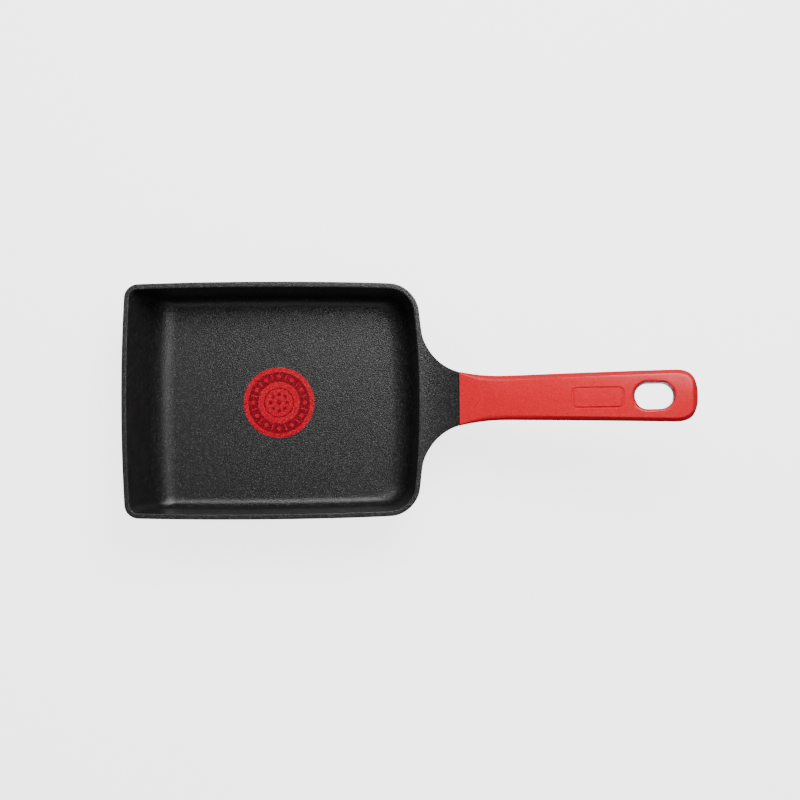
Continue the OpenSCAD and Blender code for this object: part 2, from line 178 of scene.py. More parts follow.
def startPlate(name, centre, length, width):
    # a flat plate in its real size, open in edit mode
    clearSelection()
    bpy.ops.mesh.primitive_plane_add(size=1, location=centre)
    plate = startPiece(name)
    resizeAbout(centre, length, width)
    bpy.ops.object.mode_set(mode="OBJECT")
    applyPlace()
    bpy.ops.object.mode_set(mode="EDIT")
    return plate


def roundedPlate(name, centre, length, width, radius, steps):
    # a plate with rounded corners, left in edit mode with its face selected
    plate = startPlate(name, centre, length, width)
    pickOnly(plate, "verts", everything)
    bpy.ops.mesh.bevel(offset=radius, segments=steps, affect="VERTICES")
    pickOnly(plate, "verts", everything)
    # the corners of a stadium meet in the middle of its ends
    bpy.ops.mesh.remove_doubles(threshold=outlineWeld)
    pickOnly(plate, "faces", everything)
    return plate


def roundedBar(name, start, end, width, thick, radius):
    # a bar along x with its four long edges rounded
    middle = ((start + end) / 2, 0, 0)
    clearSelection()
    bpy.ops.mesh.primitive_cube_add(size=1, location=middle)
    bar = startPiece(name)
    resizeAbout(middle, end - start, width, thick)
    pickOnly(bar, "edges", runsAlongX)
    bpy.ops.mesh.bevel(offset=radius, segments=3, affect="EDGES")
    bpy.ops.object.mode_set(mode="OBJECT")
    applyPlace()
    return bar


def extrudeRings(rings, length, width):
    # extrudes what is selected through (offset, height) rings of its outline
    out0, z0 = rings[0]
    for out, z in rings[1:]:
        bpy.ops.mesh.extrude_region_move()
        resizeAbout((0, 0, z0), (length + 2 * out) / (length + 2 * out0),
                    (width + 2 * out) / (width + 2 * out0))
        moveBy(0, 0, z - z0)
        out0, z0 = out, z


def turnedPiece(name, rings, centre, steps=48):
    # a turned piece or cutter from (radius, height) rings
    (r0, z0), *rest = rings
    clearSelection()
    bpy.ops.mesh.primitive_circle_add(vertices=steps, radius=r0, fill_type="NGON",
                                      location=(*centre, z0))
    piece = startPiece(name)
    for r, z in rest:
        bpy.ops.mesh.extrude_region_move()
        resizeAbout((*centre, z0), r / r0, r / r0)
        moveBy(0, 0, z - z0)
        r0, z0 = r, z
    bpy.ops.object.mode_set(mode="OBJECT")
    turnNormalsOut(piece)
    return piece


def newMaterial(name, colour, roughness, metallic=0.0, specular=0.5):
    material = bpy.data.materials.new(name)
    material.use_nodes = True
    shader = material.node_tree.nodes["Principled BSDF"]
    shader.inputs["Base Color"].default_value = (*colour, 1)
    shader.inputs["Roughness"].default_value = roughness
    shader.inputs["Metallic"].default_value = metallic
    shader.inputs["Specular IOR Level"].default_value = specular
    return material, material.node_tree, shader


def addNode(tree, kind, inputs=None, **settings):
    node = tree.nodes.new(kind)
    for key, value in settings.items():
        setattr(node, key, value)
    for key, value in (inputs or {}).items():
        if isinstance(value, bpy.types.NodeSocket):
            tree.links.new(value, node.inputs[key])
        else:
            node.inputs[key].default_value = value
    return node


def inMillimetres(tree, stretch=(1, 1, 1)):
    # object coordinates counted in millimetres, optionally squeezed along an axis
    place = addNode(tree, "ShaderNodeTexCoord")
    scale = [k / millimetre for k in stretch]
    mapping = addNode(tree, "ShaderNodeMapping", {"Vector": place.outputs["Object"], "Scale": scale})
    return mapping.outputs["Vector"]


def noise(tree, where, perMillimetre, detail=2.0, roughness=0.55):
    inputs = {"Vector": where, "Scale": perMillimetre, "Detail": detail, "Roughness": roughness}
    return addNode(tree, "ShaderNodeTexNoise", inputs).outputs["Fac"]


def ramp(tree, value, *stops):
    # colour ramp from (position, brightness or colour) pairs
    node = addNode(tree, "ShaderNodeValToRGB", {"Fac": value})
    while len(node.color_ramp.elements) < len(stops):
        node.color_ramp.elements.new(0.5)
    for element, (position, colour) in zip(node.color_ramp.elements, stops):
        element.position = position
        element.color = (*colour, 1) if isinstance(colour, tuple) else (colour, colour, colour, 1)
    return node.outputs["Color"]


def addBump(tree, shader, height, deep):
    # deep is the relief's depth in millimetres
    node = addNode(tree, "ShaderNodeBump",
                   {"Height": height, "Strength": 1.0, "Distance": deep * millimetre})
    tree.links.new(node.outputs["Normal"], shader.inputs["Normal"])


def measure(tree, operation, *values):
    node = addNode(tree, "ShaderNodeMath", dict(enumerate(values)), operation=operation)
    return node.outputs[0]


def within(tree, distance, half, soft=0.15):
    # 1 where a distance in millimetres is under half, 0 outside
    node = addNode(tree, "ShaderNodeMapRange",
                   {"Value": distance, "From Min": half + soft, "From Max": half - soft})
    return node.outputs["Result"]


def coatedCasting():
    # non-stick coating: near black, with a fine grain and pale flecks
    c = {"grain": 1.3, "fleck": 1.9, "relief": 0.22, "roughness": 0.28, "specular": 0.31,
         "tones": ((0.18, 0.0055), (0.26, 0.0065), (0.33, 0.011), (0.4, 0.062))}
    material, tree, shader = newMaterial("speckledBlackCoat", (0.01, 0.01, 0.01), c["roughness"],
                                         specular=c["specular"])
    where = inMillimetres(tree)
    grain = noise(tree, where, c["grain"], 3.0, 0.6)
    fleck = noise(tree, where, c["fleck"], 1.0, 0.5)
    tone = ramp(tree, measure(tree, "MULTIPLY", grain, fleck), *c["tones"])
    tree.links.new(tone, shader.inputs["Base Color"])
    addBump(tree, shader, grain, c["relief"])
    return material


def redPlastic():
    # moulded plastic with a satin skin and a fine sparkle
    c = {"grain": 1.5, "cloud": 0.06, "relief": 0.04, "roughness": 0.26, "specular": 0.24,
         "reds": ((0.3, (0.42, 0.002, 0.010)), (0.5, (0.49, 0.003, 0.012)), (0.7, (0.58, 0.008, 0.020))),
         "sheen": ((0.3, 0.24), (0.7, 0.29))}
    material, tree, shader = newMaterial("redGripPlastic", (0.49, 0.003, 0.012), c["roughness"],
                                         specular=c["specular"])
    where = inMillimetres(tree)
    grain = noise(tree, where, c["grain"], 1.0)
    cloud = noise(tree, where, c["cloud"])
    tree.links.new(ramp(tree, grain, *c["reds"]), shader.inputs["Base Color"])
    tree.links.new(ramp(tree, cloud, *c["sheen"]), shader.inputs["Roughness"])
    addBump(tree, shader, grain, c["relief"])
    return material


def redPrint():
    # heat indicator: a dark ring set with dots and bars, round a rosette
    c = {"grain": 1.15, "relief": 0.05, "roughness": 0.5, "specular": 0.05, "centre": 2.0,
         "ringAt": 16.4, "ringHalf": 3.1, "marks": 12, "dot": 1.35, "barLong": 1.9, "barHalf": 0.42,
         "line": 9.2, "lineHalf": 0.35, "petals": 8, "petalAt": 5.2, "petal": 1.15, "heart": 1.5,
         "bright": ((0.3, (0.20, 0.0005, 0.006)), (0.5, (0.31, 0.001, 0.010)), (0.7, (0.52, 0.014, 0.028))),
         "deep": ((0.3, (0.06, 0.0005, 0.004)), (0.5, (0.12, 0.001, 0.006)), (0.7, (0.24, 0.010, 0.018)))}
    material, tree, shader = newMaterial("heatIndicatorPrint", (0.3, 0.001, 0.009), c["roughness"],
                                         specular=c["specular"])

    def maths(operation, *values):
        return measure(tree, operation, *values)

    where = inMillimetres(tree)
    centred = addNode(tree, "ShaderNodeVectorMath", {0: where, 1: (c["centre"], 0, 0)},
                      operation="SUBTRACT")
    x, y, _ = addNode(tree, "ShaderNodeSeparateXYZ", {0: centred.outputs[0]}).outputs
    radius = maths("SQRT", maths("MULTIPLY_ADD", x, x, maths("MULTIPLY", y, y)))
    turn = maths("ARCTAN2", y, x)

    def spokes(count, out, shift=0.0):
        # distance along and across from a mark that repeats round the middle at radius out
        folded = maths("PINGPONG", maths("ADD", turn, shift), math.pi / count)
        along = maths("MULTIPLY_ADD", radius, maths("COSINE", folded), -out)
        return along, maths("MULTIPLY", radius, maths("SINE", folded))

    def dots(count, out, size):
        along, across = spokes(count, out)
        squares = maths("MULTIPLY_ADD", along, along, maths("MULTIPLY", across, across))
        return within(tree, maths("SQRT", squares), size)

    def circle(out, half):
        return within(tree, maths("ABSOLUTE", maths("SUBTRACT", radius, out)), half)

    ring = circle(c["ringAt"], c["ringHalf"])
    along, across = spokes(c["marks"], c["ringAt"], math.pi / c["marks"])
    bars = maths("MULTIPLY", within(tree, maths("ABSOLUTE", along), c["barLong"]),
                 within(tree, across, c["barHalf"]))
    marks = maths("MAXIMUM", bars, dots(c["marks"], c["ringAt"], c["dot"]))
    ring = maths("MULTIPLY", ring, maths("SUBTRACT", 1.0, marks))
    line = circle(c["line"], c["lineHalf"])
    rosette = maths("MAXIMUM", dots(c["petals"], c["petalAt"], c["petal"]),
                    within(tree, radius, c["heart"]))
    dark = maths("MAXIMUM", ring, maths("MAXIMUM", line, rosette))
    grain = noise(tree, where, c["grain"], 3.0, 0.6)
    bright, deep = ramp(tree, grain, *c["bright"]), ramp(tree, grain, *c["deep"])
    # the mix node's sockets 0, 6 and 7 are its factor and its two colours
    colour = addNode(tree, "ShaderNodeMix", {0: dark, 6: bright, 7: deep}, data_type="RGBA")
    tree.links.new(colour.outputs[2], shader.inputs["Base Color"])
    addBump(tree, shader, grain, c["relief"])
    return material


def brushedSteel(name, stretch, roughness, tone=0.58, tint=(1, 1, 1)):
    # steel whose grain is drawn out along the axis that stretch squeezes
    c = {"grain": 2.4, "relief": 0.006, "tones": (0.85, 1.12), "sheen": (0.8, 1.25)}
    dark, light = (tuple(tone * part * k for k in tint) for part in c["tones"])
    low, high = (roughness * part for part in c["sheen"])
    material, tree, shader = newMaterial(name, light, roughness, metallic=1.0)
    grain = noise(tree, inMillimetres(tree, stretch), c["grain"], 3.0, 0.6)
    tree.links.new(ramp(tree, grain, (0.3, dark), (0.7, light)), shader.inputs["Base Color"])
    tree.links.new(ramp(tree, grain, (0.3, low), (0.7, high)), shader.inputs["Roughness"])
    addBump(tree, shader, grain, c["relief"])
    return material


def blackRubber():
    c = {"grain": 4.0, "relief": 0.01, "roughness": 0.8, "specular": 0.2,
         "tones": ((0.3, 0.003), (0.7, 0.006))}
    material, tree, shader = newMaterial("blackSeal", (0.004, 0.004, 0.004), c["roughness"],
                                         specular=c["specular"])
    grain = noise(tree, inMillimetres(tree), c["grain"])
    tree.links.new(ramp(tree, grain, *c["tones"]), shader.inputs["Base Color"])
    addBump(tree, shader, grain, c["relief"])
    return material


coatFinish = coatedCasting()
gripFinish = redPlastic()
printFinish = redPrint()
plateFinish = brushedSteel("brushedBaseSteel", (0.05, 1, 1), 0.34)
liningFinish = brushedSteel("satinLiningSteel", (1, 1, 0.15), 0.25, 0.55, (1.0, 0.9, 0.96))
fastenerFinish = brushedSteel("turnedFastenerSteel", (1, 1, 1), 0.3)
sealFinish = blackRubber()
for node, finish in (("induction_plate", plateFinish), ("neck_gasket", sealFinish),
                     ("thread_insert", fastenerFinish), ("flat_washer", fastenerFinish),
                     ("spring_washer", fastenerFinish), ("handle_screw", fastenerFinish)):
    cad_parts[node].data.materials.clear()
    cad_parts[node].data.materials.append(finish)
print("materials made")

castingSizes = {
    "mouthLength": 181.5, "mouthWidth": 141.0, "rimHeight": 42.0, "wall": 3.5, "floor": 4.5,
    "farLean": 22.0, "nearLean": 9.0, "sideLean": 6.0,
    "farFillet": 16.0, "nearFillet": 12.0, "sideFillet": 6.0, "filletSteps": 6,
    "farBow": 2.08, "farSlack": 0.02, "nearBow": 4.3, "sideBow": 1.5, "narrowing": 0.8,
    "farCorner": 8.5, "nearCorner": 17.2, "cornerSteps": 8, "rimRound": 0.6,
    # points added to the near, far and two long sides, and heights of the loops on the walls
    "sideCuts": (9, 7, 9, 9), "outerLevels": (37.0, 31.0, 25.0, 19.0, 14.0),
    "innerLevels": (36, 28, 20), "floorInset": 1.5,
}


def wallIn(z, lean, fillet, low):
    # how far a wall has come in from the rim at height z
    s, slope = castingSizes, math.radians(lean)
    centre = (s["rimHeight"] - low - fillet) * math.tan(slope) + fillet / math.cos(slope)
    if z >= low + fillet * (1 - math.sin(slope)):
        return (s["rimHeight"] - z) * math.tan(slope)
    return centre - math.sqrt(max(0.0, fillet ** 2 - (low + fillet - z) ** 2))


def vesselLevel(z, inner):
    # far x, near x and half width of the straight-sided outline at height z
    s = castingSizes
    low, spread = (s["floor"], 0.0) if inner else (0.0, s["wall"])
    half = s["mouthLength"] / 2 + spread
    return (wallIn(z, s["farLean"], s["farFillet"] + spread, low) - half + s["farBow"],
            half - s["nearBow"] - wallIn(z, s["nearLean"], s["nearFillet"] + spread, low),
            s["mouthWidth"] / 2 + spread - s["sideBow"]
            - wallIn(z, s["sideLean"], s["sideFillet"] + spread, low))


def filletHeights(fillet, low):
    widest, steps = math.radians(90 - castingSizes["farLean"]), castingSizes["filletSteps"]
    return [low + fillet * (1 - math.cos(widest * k / steps)) for k in range(steps, -1, -1)]


def extrudeLevels(heights, inner):
    # extrudes the selected rim face down through the levels, each scaled to its own outline
    z0 = castingSizes["rimHeight"]
    far0, near0, half0 = vesselLevel(z0, inner)
    for z in heights:
        far, near, half = vesselLevel(z, inner)
        bpy.ops.mesh.extrude_region_move()
        resizeAbout(((far0 + near0) / 2, 0, z0), (near - far) / (near0 - far0), half / half0)
        moveBy((far + near - far0 - near0) / 2, 0, z - z0)
        z0, far0, near0, half0 = z, far, near, half


def buildVessel():
    s = castingSizes
    far, near, half = vesselLevel(s["rimHeight"], False)
    vessel = startPlate("castPan", ((far + near) / 2, 0, s["rimHeight"]), near - far, 2 * half)
    for side, radius in ((1, s["nearCorner"]), (-1, s["farCorner"])):
        pickOnly(vessel, "verts", lambda v: v.co.x * side > 0)
        bpy.ops.mesh.bevel(offset=radius, segments=s["cornerSteps"], affect="VERTICES")
    sides = (lambda p: p.x > near - hair, lambda p: p.x < far + hair,
             lambda p: p.y > half - hair, lambda p: p.y < hair - half)
    for cuts, isOn in zip(s["sideCuts"], sides):
        pickOnly(vessel, "edges", lambda e: isOn(middleOf(e)) and e.calc_length() > s["nearCorner"])
        bpy.ops.mesh.subdivide(number_cuts=cuts)
    # outside, from the rim down to the flat base
    pickOnly(vessel, "faces", everything)
    extrudeLevels([*s["outerLevels"], *filletHeights(s["farFillet"] + s["wall"], 0)], False)
    # inside, from an inset of the top down to the floor
    pickOnly(vessel, "faces", lambda f: f.calc_center_median().z > s["rimHeight"] - hair)
    bpy.ops.mesh.inset(thickness=s["wall"], use_even_offset=True)
    extrudeLevels([*s["innerLevels"], *filletHeights(s["farFillet"], s["floor"])], True)
    bpy.ops.mesh.inset(thickness=s["floorInset"])
    bpy.ops.object.mode_set(mode="OBJECT")
    return vessel


def bowSides(vessel):
    # a lattice pushes the middle of each side outwards
    s = castingSizes
    far, near, half = vesselLevel(s["rimHeight"], False)
    clearSelection()
    bpy.ops.object.add(type="LATTICE", location=((far + near) / 2, 0, s["rimHeight"] / 2))
    cage = bpy.context.object
    cage.scale = (near - far, 2 * half, s["rimHeight"])
    cage.data.points_u, cage.data.points_v, cage.data.points_w = 5, 5, 2
    cage.data.interpolation_type_u = "KEY_CATMULL_ROM"
    cage.data.interpolation_type_v = "KEY_CATMULL_ROM"
    cage.data.interpolation_type_w = "KEY_LINEAR"
    for point in cage.data.points:
        # places in the cage, from -1 to 1
        kx, ky = 2 * point.co.x, 2 * point.co.y
        endBow = s["nearBow"] if kx > 0 else s["farSlack"] - s["farBow"]
        bow = mixed((s["nearBow"] - s["farBow"]) / 2, endBow, min(1, 2 * abs(kx)))
        point.co_deform.x += bow * (1 - ky * ky) / (near - far)
        point.co_deform.y += ky * (s["sideBow"] * (1 - kx * kx) - s["narrowing"] / 2 * kx) / (2 * half)
    bpy.context.view_layer.update()
    applyModifier(vessel, "LATTICE", object=cage)
    bpy.data.objects.remove(cage, do_unlink=True)


neckSizes = {
    "length": 20.8, "frontWidth": 33.8, "flare": 31.4, "frontUp": 7.5, "frontDown": 8.5,
    # the patch of the near wall that the neck grows from
    "rootHeight": 14.0, "rootHalf": 42.7, "patchHalf": 40.0, "patchNear": 1.2,
    # width of the neck's underside at the wall and at the handle, as a part of its top
    "rootPart": 0.42, "underPart": 0.86,
    "pitch": 11.5, "arch": 6.8, "handleLength": 146.7,
    "steps": (0.04, 0.1, 0.18, 0.28, 0.4, 0.54, 0.7, 0.85, 0.965, 1.0),
}


def neckTop(x):
    n = neckSizes
    rise = castingSizes["mouthLength"] / 2 + castingSizes["wall"] / 2
    curve = (wallX + n["length"] - rise) / math.sin(math.radians(n["pitch"]) + archSlope)
    climb = curve - math.sqrt(curve ** 2 - (x - rise) ** 2) if x > rise else 0
    return castingSizes["rimHeight"] + climb


def neckHalf(x):
    # half width of the neck's top: an arc that flares into the wall
    n = neckSizes
    flareX = wallX - castingSizes["nearBow"] / 2 + n["flare"]
    flareY = n["frontWidth"] / 2 + math.sqrt(n["flare"] ** 2 - (flareX - jointTop.x) ** 2)
    return flareY - math.sqrt(n["flare"] ** 2 - (flareX - x) ** 2)


wallX = castingSizes["mouthLength"] / 2 + castingSizes["wall"]
archSlope = math.atan(4 * neckSizes["arch"] / neckSizes["handleLength"])
pitch = math.radians(neckSizes["pitch"])
jointTop = Vector((wallX + neckSizes["length"], neckTop(wallX + neckSizes["length"])))
downwards = Vector((math.sin(pitch), -math.cos(pitch)))
jointLow = jointTop + (neckSizes["frontUp"] + neckSizes["frontDown"]) * downwards
joint = jointTop + neckSizes["frontUp"] * downwards
neckRows = (castingSizes["rimHeight"], *castingSizes["outerLevels"])
outlineHalf = vesselLevel(castingSizes["rimHeight"], False)[2]


def neckRow(height, g):
    # middle x, z, half width and bow of one row of the section g of the way along the neck
    n, s = neckSizes, castingSizes
    d = (neckRows[0] - height) / (neckRows[0] - neckRows[-1])
    topX = mixed(wallX, jointTop.x, g)
    lowX = wallX - (s["rimHeight"] - n["rootHeight"]) * math.tan(math.radians(s["nearLean"]))
    bend = Vector((wallX, jointLow.y - (jointLow.x - wallX) * math.tan(pitch + archSlope)))
    low = (1 - g) ** 2 * Vector((lowX, n["rootHeight"])) + 2 * g * (1 - g) * bend + g * g * jointLow
    endX = mixed(wallX - s["nearBow"] * (n["rootHalf"] / outlineHalf) ** 2, jointTop.x, g)
    half = neckHalf(endX) * mixed(1, mixed(n["rootPart"], n["underPart"], eased(g)), d)
    return (mixed(topX, low.x, d), mixed(neckTop(topX), low.y, d), half,
            (1 - g) * s["nearBow"] * (half / outlineHalf) ** 2 + hair)


def growNeck(vessel):
    # the upper middle of the near wall is extruded section by section to the handle
    s, n = castingSizes, neckSizes
    slope = math.tan(math.radians(s["nearLean"]))

    def onPatch(face):
        c = face.calc_center_median()
        wall = wallX - s["nearBow"] * (c.y / outlineHalf) ** 2 - (s["rimHeight"] - c.z) * slope
        return abs(c.x - wall) < n["patchNear"] and c.z > n["rootHeight"] and abs(c.y) < n["patchHalf"]

    makeActive(vessel)
    bpy.ops.object.mode_set(mode="EDIT")
    pickOnly(vessel, "faces", onPatch)
    rows = None
    for g in (0, *n["steps"]):
        if g:
            bpy.ops.mesh.extrude_region_move()
        mesh = bmesh.from_edit_mesh(vessel.data)
        mesh.verts.index_update()
        cap = [v for v in mesh.verts if v.select]
        if rows is None:
            near = {h: [v for v in cap if abs(v.co.z - h) < close] for h in neckRows}
            halves = {h: max(v.co.y for v in near[h]) for h in neckRows}
            rows = {h: (max(v.co.x for v in near[h]), h, halves[h],
                        s["nearBow"] * (halves[h] / outlineHalf) ** 2) for h in neckRows}
        capSet = {v.index for v in cap}
        rowSets = {h: {v.index for v in cap if abs(v.co.z - rows[h][1]) < close} for h in neckRows}
        for h in neckRows:
            x0, z0, half0, bow0 = rows[h]
            x, z, half, bow = rows[h] = neckRow(h, g)
            pickOnly(vessel, "verts", lambda v: v.index in rowSets[h])
            resizeAbout((x0, 0, z0), bow / bow0, half / half0)
            moveBy(x - x0, 0, z - z0)
        pickOnly(vessel, "faces", lambda f: all(v.index in capSet for v in f.verts))
    bpy.ops.mesh.dissolve_faces()


def roundUpperEdges(vessel):
    # the rim's two edges and the neck's upper edges
    s = castingSizes
    # how far the normals of level and steep faces point up, and the end's along the handle
    level, steep, square = 0.9, 0.6, 0.999
    makeActive(vessel)
    bpy.ops.object.mode_set(mode="EDIT")
    bpy.ops.mesh.select_all(action="SELECT")
    bpy.ops.mesh.normals_make_consistent(inside=False)

    def isUpper(edge):
        if len(edge.link_faces) != 2 or min(v.co.z for v in edge.verts) < s["rimHeight"] - close:
            return False
        ups = sorted(f.normal.z for f in edge.link_faces)
        return ups[1] > level and ups[0] < steep and middleOf(edge).x < jointTop.x - close

    pickOnly(vessel, "edges", isUpper)
    bpy.ops.mesh.bevel(offset=s["rimRound"], segments=3, affect="EDGES")
    # the neck's end stays sharp where it meets the handle
    endNormal = Vector((math.cos(pitch), 0, math.sin(pitch)))

    def isEnd(face):
        return face.normal.dot(endNormal) > square and face.calc_center_median().x > wallX

    pickOnly(vessel, "edges", lambda e: any(isEnd(f) for f in e.link_faces))
    bpy.ops.transform.edge_crease(value=1)
    bpy.ops.object.mode_set(mode="OBJECT")


tangSizes = {"width": 20.0, "thick": 8.0, "length": 32.0, "round": 1.5,
             "insertHole": 6.06, "insertAt": 18.0}


def buildTang():
    t = tangSizes
    tang = roundedBar("tang", -over, t["length"], t["width"], t["thick"], t["round"])
    bore = [(t["insertHole"] / 2, -t["thick"]), (t["insertHole"] / 2, t["thick"])]
    cutAway(tang, turnedPiece("insertBore", bore, (t["insertAt"], 0)))
    placePiece(tang, joint.x, joint.y, pitch)
    return tang


baseSizes = {"middle": 3.87, "length": 122.4, "width": 109.5, "corner": 12.0, "cornerSteps": 8,
             "deep": 0.83, "gap": 0.03, "hole": 5.0, "holeSteps": 28, "studTall": 8.0, "pitch": 12.0}


def plateHoles():
    # staggered rows of holes, clear of the plate's edge and corners
    b = baseSizes
    rowStep = b["pitch"] * math.sqrt(3) / 2
    rows = math.floor((b["width"] / 2 - b["hole"]) / rowStep)
    places = []
    for row in range(-rows, rows + 1):
        y, shift = row * rowStep, 0.5 if row % 2 else 0
        reach = b["length"] / 2 - b["hole"]
        if abs(y) > b["width"] / 2 - b["corner"]:
            reach -= b["corner"] / 2
        columns = math.floor(reach / b["pitch"] + shift)
        xs = [(i + shift) * b["pitch"] for i in range(-columns, columns + 1)]
        places += [(x, y) for x in xs if abs(x) <= reach]
    return places


def basePocket():
    # the pocket for the base plate, with holes that leave studs standing
    b = baseSizes
    start = -2 * over
    pocket = roundedPlate("basePocket", (b["middle"], 0, start), b["length"] + 2 * b["gap"],
                          b["width"] + 2 * b["gap"], b["corner"] + b["gap"], b["cornerSteps"])
    bpy.ops.mesh.extrude_region_move()
    moveBy(0, 0, b["deep"] - start)
    turnNormalsOut(pocket)
    places = plateHoles()
    clearSelection()
    bpy.ops.mesh.primitive_cylinder_add(vertices=b["holeSteps"], radius=b["hole"] / 2 - b["gap"],
                                        depth=b["studTall"],
                                        location=(b["middle"] + places[0][0], places[0][1], 0))
    studs = startPiece("studs")
    for (x0, y0), (x, y) in zip(places, places[1:]):
        bpy.ops.mesh.duplicate_move(TRANSFORM_OT_translate={"value": (x - x0, y - y0, 0)})
    bpy.ops.object.mode_set(mode="OBJECT")
    cutAway(pocket, studs)
    return pocket


vessel = buildVessel()
bowSides(vessel)
growNeck(vessel)
roundUpperEdges(vessel)
smoothOut(vessel, 2)
combine(vessel, buildTang(), "UNION")
cutAway(vessel, basePocket())
finishPiece(vessel, coatFinish, ["pan_body"])


gripSizes = {
    "length": 146.7, "frontWidth": 33.8, "narrowWidth": 26.3, "buttWidth": 32.7, "waist": 30.0,
    "frontUp": 7.5, "frontDown": 8.5, "buttUp": 6.0, "buttDown": 6.9,
    "belly": 7.0, "bellyAt": 24.0, "arch": 6.8, "crown": 1.0, "underPart": 0.86,
    # rounds along the upper and lower edges, behind the waist and at the front
    "topRound": 3.4, "lowRound": 4.2, "frontTopRound": 1.5, "frontLowRound": 4.0,
    "roundGrows": 14.0, "roundLimit": 0.92, "topLimit": 0.3, "roundSteps": 4,
    # how full the shoulder's curve is at the front and further back, and the lower edge's
    "shoulders": (0.48, 0.3), "shoulderRun": 80.0, "lowCurve": 0.5,
    # the small round where the top turns into its shoulder, at most a sixth of the shoulder's
    "edgeRound": 0.3, "edgePart": 1 / 6, "edgeReach": 0.1,
    # points added to the top, the underside and the sides, and what counts as a side
    "topCuts": 5, "underCuts": 1, "sideCuts": 2, "sideFrom": 0.8, "sideTall": 0.2,
    # the rounded end: its plan, its lower edge and the facet round its top
    "endRound": 12.0, "endEdge": 4.0, "endFacet": 2.2, "endFall": 0.72, "endSquare": 2.5,
    "endShort": 0.12,
    "stations": (0.8, 2.2, 5, 9, 14, 20, 27, 35, 46, 58, 70, 82, 94, 106, 117, 126, 132, 137,
                 141, 143.1, 143.8, 144.2, 144.7, 145.5, 146.2, 146.64),
}


def endPart(s, run):
    # how much of its size the grip keeps at s, when it rounds off over its last run
    t = min(1.0, max(0.0, (s - gripSizes["length"] + run) / run))
    return (1 - t ** gripSizes["endSquare"]) ** (1 / gripSizes["endSquare"])


def archAt(s):
    g = gripSizes
    return 4 * g["arch"] * (s / g["length"]) * (1 - s / g["length"])


def archTilt(s):
    g = gripSizes
    return math.atan(4 * g["arch"] / g["length"] * (1 - 2 * s / g["length"]))


def gripHalf(s):
    g = gripSizes
    flare = (g["frontWidth"] - g["narrowWidth"]) * max(0, 1 - s / g["waist"]) ** 2
    width = mixed(g["narrowWidth"], g["buttWidth"], s / g["length"]) + flare
    return width / 2 * endPart(s, g["endRound"])


def gripHeights(s):
    # the section's height over and under the middle line
    g = gripSizes
    part = s / g["length"]
    facet = 1 - g["endFall"] * max(0, (s - g["length"] + g["endFacet"]) / g["endFacet"])
    belly = g["belly"] * (s / g["bellyAt"]) ** 2 * math.exp(2 * (1 - s / g["bellyAt"]))
    return (mixed(g["frontUp"], g["buttUp"], part) * facet,
            (mixed(g["frontDown"], g["buttDown"], part) + belly) * endPart(s, g["endEdge"]))


def gripSection(grip, s, at):
    # one loop of the grip: a plane across it, drawn in below, crowned and rounded
    g = gripSizes
    half, (up, down) = gripHalf(s), gripHeights(s)
    tall, middle = up + down, archAt(s) + (up - down) / 2
    t, grown = eased(s / g["waist"]), eased(s / g["roundGrows"])
    shoulder = mixed(*g["shoulders"], eased(s / g["shoulderRun"]))
    topRound = min(mixed(g["frontTopRound"], g["topRound"], grown), g["roundLimit"] * up,
                   g["topLimit"] * half)
    lowRound = min(mixed(g["frontLowRound"], g["lowRound"], t), g["roundLimit"] * min(half, down))
    wide = half * (1 + (1 - g["underPart"]) * topRound / (tall - topRound))
    crown = g["crown"] * t * (up / g["buttUp"] if s > g["length"] - g["endEdge"] else 1)

    def here(v):
        return abs(v.co.x - at) < hair

    bpy.ops.mesh.primitive_plane_add(size=1, location=(at, 0, middle), rotation=(0, math.pi / 2, 0))
    resizeAbout((at, 0, middle), 1, 2 * wide, tall)
    for side, cuts in ((1, g["topCuts"]), (-1, g["underCuts"])):
        pickOnly(grip, "edges",
                 lambda e: liesAt(e, at) and (middleOf(e).z - middle) * side > tall / 2 - close)
        bpy.ops.mesh.subdivide(number_cuts=cuts)
    # the top's points, at thirds of its half width, rise to its crown
    for part in (0, 1 / 3, 2 / 3):
        pickOnly(grip, "verts",
                 lambda v: here(v) and abs(abs(v.co.y) - wide * part) < close and v.co.z > middle)
        moveBy(0, 0, crown * (1 - part ** 2))
    pickOnly(grip, "verts", lambda v: here(v) and v.co.z < middle)
    resizeAbout((at, 0, middle), 1, g["underPart"] * half / wide)
    sideFrom = half * g["sideFrom"]
    for side, radius, profile in ((1, topRound, shoulder), (-1, lowRound, g["lowCurve"])):
        pickOnly(grip, "verts",
                 lambda v: here(v) and (v.co.z - middle) * side > 0 and abs(v.co.y) > sideFrom)
        bpy.ops.mesh.bevel(offset=radius, segments=g["roundSteps"], affect="VERTICES", profile=profile)
    # a small round where the top face turns into its shoulder
    pickOnly(grip, "verts",
             lambda v: here(v) and v.co.z > middle
             and abs(abs(v.co.y) - wide + topRound) < g["edgeReach"])
    edgeRound = min(g["edgeRound"], topRound * g["edgePart"])
    bpy.ops.mesh.bevel(offset=edgeRound, segments=2, affect="VERTICES")
    # the sides keep their width when the grip is smoothed
    for side in (1, -1):
        pickOnly(grip, "edges",
                 lambda e: liesAt(e, at) and middleOf(e).y * side > sideFrom
                 and abs(e.verts[0].co.z - e.verts[1].co.z) > g["sideTall"] * tall)
        bpy.ops.mesh.subdivide(number_cuts=g["sideCuts"])


